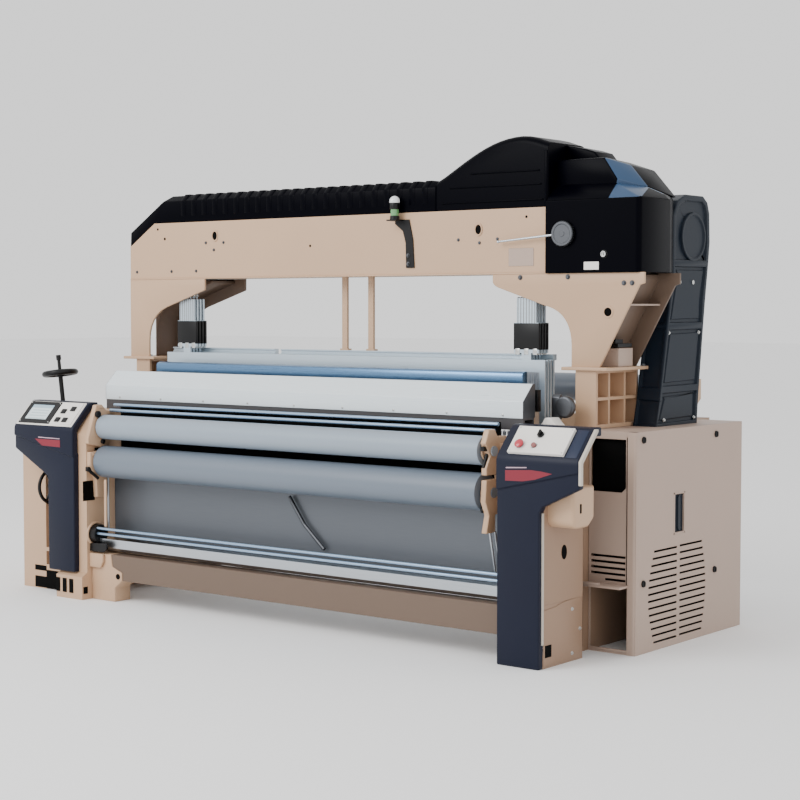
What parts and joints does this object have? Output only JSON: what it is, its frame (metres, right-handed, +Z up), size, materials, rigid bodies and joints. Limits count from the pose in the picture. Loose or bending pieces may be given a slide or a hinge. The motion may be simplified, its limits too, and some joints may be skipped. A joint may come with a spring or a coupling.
{
  "type": "power loom",
  "caption": "Wide shuttleless power loom: side frames, cloth and warp rolls, sley and reed, heald frames hung from an overhead drive beam, and control boxes.",
  "frame": {"origin": "on the floor, under the middle of the overall box", "axes": "+X along the rolls towards the drive end, +Y from the cloth side to the warp side, +Z up"},
  "size_m": [3.56, 1.7509, 2.231],
  "materials": {
    "beige_paint": "satin machine enamel, warm beige",
    "cabinet_paint": "satin enamel, slightly greyer beige",
    "black_plastic": "moulded black plastic",
    "blue_housing": "moulded dark blue plastic, fine grain",
    "screen": "display behind a dark bezel",
    "white_panel": "printed film on a panel, left blank",
    "red_plastic": "red push button",
    "brown_plastic": "dull red-brown push button",
    "bright_sheet": "bright stainless cover",
    "stainless": "brushed stainless sheet and bar",
    "roll_grey": "grey rubber-covered roll",
    "machined_steel": "machined steel",
    "reed_steel": "reed with a blue top band",
    "heald_alloy": "anodised light alloy",
    "navy_cover": "glossy navy-black moulded cover",
    "slate_cover": "slate-grey moulded cover",
    "motor_grey": "grey motor enamel",
    "lamp_lens": "stacked signal lamp, white, dark and green"
  },
  "bodies": {
    "loom": {"back_rest_brackets": "beige_paint", "beam_cover": "navy_cover", "breast_beam": "stainless", "breast_cover": "bright_sheet", "button_plate": "white_panel", "display_screen": "screen", "drip_trough": "stainless", "drive_head_cover": "navy_cover", "front_crossbeam": "beige_paint", "front_sheet": "stainless", "gear_housing": "beige_paint", "guard_rails": "stainless", "heald_guides": "beige_paint", "hump_cover": "navy_cover", "keypad_plate": "white_panel", "lamp_bracket": "black_plastic", "left_control_housing": "blue_housing", "left_end_cabinet": "beige_paint", "left_pedestal": "beige_paint", "left_roll_bracket": "beige_paint", "left_side_frame": "beige_paint", "left_upright": "beige_paint", "main_motor": "motor_grey", "overhead_beam": "beige_paint", "rear_crossbeam": "beige_paint", "right_cabinet_shell": "cabinet_paint", "right_control_housing": "blue_housing", "right_pedestal": "beige_paint", "right_roll_bracket": "beige_paint", "right_side_frame": "beige_paint", "right_side_panel": "cabinet_paint", "right_upright": "beige_paint", "side_panel_knobs": "black_plastic", "signal_lamp": "lamp_lens", "spreader_bars": "stainless", "tower_cover": "slate_cover"},
    "take_up": {"take_up_roll": "roll_grey"},
    "cloth_beam": {"cloth_roll": "roll_grey"},
    "warp": {"warp_beam": "machined_steel"},
    "back_rest": {"back_rest_roll": "roll_grey"},
    "sley_body": {"sley": "machined_steel", "reed": "reed_steel"},
    "heald_1": {"heald_frame_1": "heald_alloy"},
    "heald_2": {"heald_frame_2": "heald_alloy"},
    "heald_3": {"heald_frame_3": "heald_alloy"},
    "heald_4": {"heald_frame_4": "heald_alloy"},
    "drive_shaft": {"main_shaft": "machined_steel"},
    "motor_shaft": {"motor_pulley": "machined_steel"},
    "shedding_shaft": {"shedding_pulley": "machined_steel"},
    "letoff_wheel": {"letoff_handwheel": "black_plastic"},
    "side_wheel": {"side_handwheel": "black_plastic"},
    "shed_lever_body": {"shed_lever": "machined_steel"},
    "lock_body": {"cover_lock": "machined_steel"},
    "stop_body": {"stop_button": "red_plastic"},
    "start_body": {"start_button": "brown_plastic"},
    "selector_body": {"selector_knob": "black_plastic"},
    "key_1": {"keypad_key_1": "black_plastic"},
    "key_2": {"keypad_key_2": "black_plastic"},
    "key_3": {"keypad_key_3": "black_plastic"},
    "key_4": {"keypad_key_4": "black_plastic"}
  },
  "joints": [
    {"name": "take_up_spin", "type": "hinge", "parent": "loom", "child": "take_up", "pos_m": [0, -0.742, 0.87], "axis": [1, 0, 0], "continuous": true},
    {"name": "cloth_beam_spin", "type": "hinge", "parent": "loom", "child": "cloth_beam", "pos_m": [0, -0.742, 0.695], "axis": [1, 0, 0], "continuous": true},
    {"name": "warp_spin", "type": "hinge", "parent": "loom", "child": "warp", "pos_m": [0, 0.505, 0.44], "axis": [1, 0, 0], "continuous": true},
    {"name": "back_rest_spin", "type": "hinge", "parent": "loom", "child": "back_rest", "pos_m": [0, 0.69, 1.075], "axis": [1, 0, 0], "continuous": true},
    {"name": "sley_swing", "type": "hinge", "parent": "loom", "child": "sley_body", "pos_m": [0, -0.33, 0.48], "axis": [1, 0, 0], "range_deg": [0, 8]},
    {"name": "heald_1_lift", "type": "slide", "parent": "loom", "child": "heald_1", "axis": [0, 0, 1], "range_m": [-0.045, 0.045]},
    {"name": "heald_2_lift", "type": "slide", "parent": "loom", "child": "heald_2", "axis": [0, 0, 1], "range_m": [-0.045, 0.045]},
    {"name": "heald_3_lift", "type": "slide", "parent": "loom", "child": "heald_3", "axis": [0, 0, 1], "range_m": [-0.045, 0.045]},
    {"name": "heald_4_lift", "type": "slide", "parent": "loom", "child": "heald_4", "axis": [0, 0, 1], "range_m": [-0.045, 0.045]},
    {"name": "main_shaft_spin", "type": "hinge", "parent": "loom", "child": "drive_shaft", "pos_m": [0, 0.1, 0.62], "axis": [1, 0, 0], "continuous": true},
    {"name": "motor_spin", "type": "hinge", "parent": "loom", "child": "motor_shaft", "pos_m": [0, 0.33, 0.2], "axis": [1, 0, 0], "continuous": true},
    {"name": "shedding_spin", "type": "hinge", "parent": "loom", "child": "shedding_shaft", "pos_m": [0, 0.3, 1.79], "axis": [1, 0, 0], "continuous": true},
    {"name": "letoff_wheel_spin", "type": "hinge", "parent": "loom", "child": "letoff_wheel", "pos_m": [-1.64658, -0.6, 1.12625], "axis": [-0.1392, 0, 0.9903], "continuous": true},
    {"name": "side_wheel_spin", "type": "hinge", "parent": "loom", "child": "side_wheel", "pos_m": [0, -0.72, 0.54], "axis": [1, 0, 0], "continuous": true},
    {"name": "shed_lever_turn", "type": "hinge", "parent": "loom", "child": "shed_lever_body", "pos_m": [1.337, -0.325, 1.791], "axis": [0, 1, 0], "range_deg": [-25, 25]},
    {"name": "lock_turn", "type": "hinge", "parent": "loom", "child": "lock_body", "pos_m": [1.539, -0.325, 1.7], "axis": [0, 1, 0], "range_deg": [0, 90]},
    {"name": "stop_press", "type": "slide", "parent": "loom", "child": "stop_body", "axis": [0, 0.7326, -0.6807], "range_m": [0, 0.004], "stiffness_N_per_m": 600},
    {"name": "start_press", "type": "slide", "parent": "loom", "child": "start_body", "axis": [0, 0.7326, -0.6807], "range_m": [0, 0.004], "stiffness_N_per_m": 400},
    {"name": "selector_turn", "type": "hinge", "parent": "loom", "child": "selector_body", "pos_m": [1.545, -0.81342, 0.95866], "axis": [0, -0.7326, 0.6807], "range_deg": [-45, 45]},
    {"name": "key_1_press", "type": "slide", "parent": "loom", "child": "key_1", "axis": [0, 0.7326, -0.6807], "range_m": [0, 0.0012], "stiffness_N_per_m": 400},
    {"name": "key_2_press", "type": "slide", "parent": "loom", "child": "key_2", "axis": [0, 0.7326, -0.6807], "range_m": [0, 0.0012], "stiffness_N_per_m": 400},
    {"name": "key_3_press", "type": "slide", "parent": "loom", "child": "key_3", "axis": [0, 0.7326, -0.6807], "range_m": [0, 0.0012], "stiffness_N_per_m": 400},
    {"name": "key_4_press", "type": "slide", "parent": "loom", "child": "key_4", "axis": [0, 0.7326, -0.6807], "range_m": [0, 0.0012], "stiffness_N_per_m": 400}
  ],
  "couplings": [
    {"joint": "cloth_beam_spin", "follows": "take_up_spin", "ratio": 0.775},
    {"joint": "motor_spin", "follows": "main_shaft_spin", "ratio": 2.5455},
    {"joint": "shedding_spin", "follows": "main_shaft_spin", "ratio": 0.5}
  ]
}
